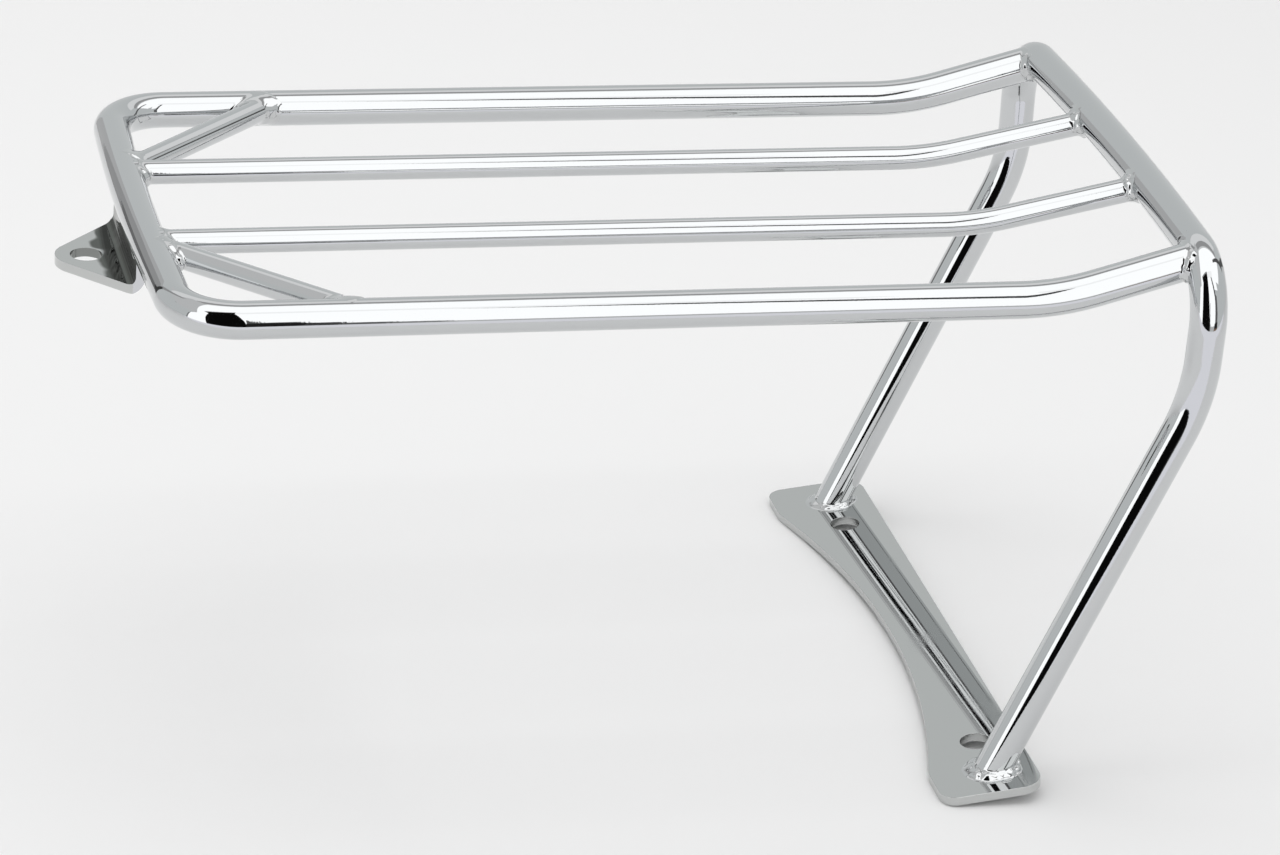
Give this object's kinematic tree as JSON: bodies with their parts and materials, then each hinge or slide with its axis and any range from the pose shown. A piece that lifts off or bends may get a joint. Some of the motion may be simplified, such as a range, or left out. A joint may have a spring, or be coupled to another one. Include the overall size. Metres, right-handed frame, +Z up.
{
  "type": "motorcycle luggage rack",
  "caption": "Chrome-plated tubular luggage rack: U-shaped deck with two inner bars and corner braces, a rear hoop with legs on a drilled saddle plate, and a drilled front tab.",
  "frame": {"origin": "middle of the front tab's bolt hole, on the underside of the tab", "axes": "X rearward on the machine, Y to its right-hand side, Z up; the deck's front is level"},
  "size_m": [0.3817, 0.245, 0.2003],
  "materials": {
    "tube_chrome": "bright chrome plate on polished steel tube",
    "plate_chrome": "bright chrome plate on flat steel plate",
    "weld_chrome": "chrome plate over a rippled weld bead"
  },
  "bodies": {
    "root": {"side_hoop": "tube_chrome", "rear_hoop": "tube_chrome", "inner_bar_left": "tube_chrome", "inner_bar_right": "tube_chrome", "corner_brace_left": "tube_chrome", "corner_brace_right": "tube_chrome", "front_tab": "plate_chrome", "saddle_plate": "plate_chrome", "weld_tab_front": "weld_chrome", "weld_tab_back": "weld_chrome", "weld_rail_left": "weld_chrome", "weld_rail_right": "weld_chrome", "weld_inner_front_left": "weld_chrome", "weld_inner_front_right": "weld_chrome", "weld_inner_rear_left": "weld_chrome", "weld_inner_rear_right": "weld_chrome", "weld_brace_front_left": "weld_chrome", "weld_brace_front_right": "weld_chrome", "weld_brace_side_left": "weld_chrome", "weld_brace_side_right": "weld_chrome", "weld_foot_left": "weld_chrome", "weld_foot_right": "weld_chrome"}
  },
  "joints": []
}
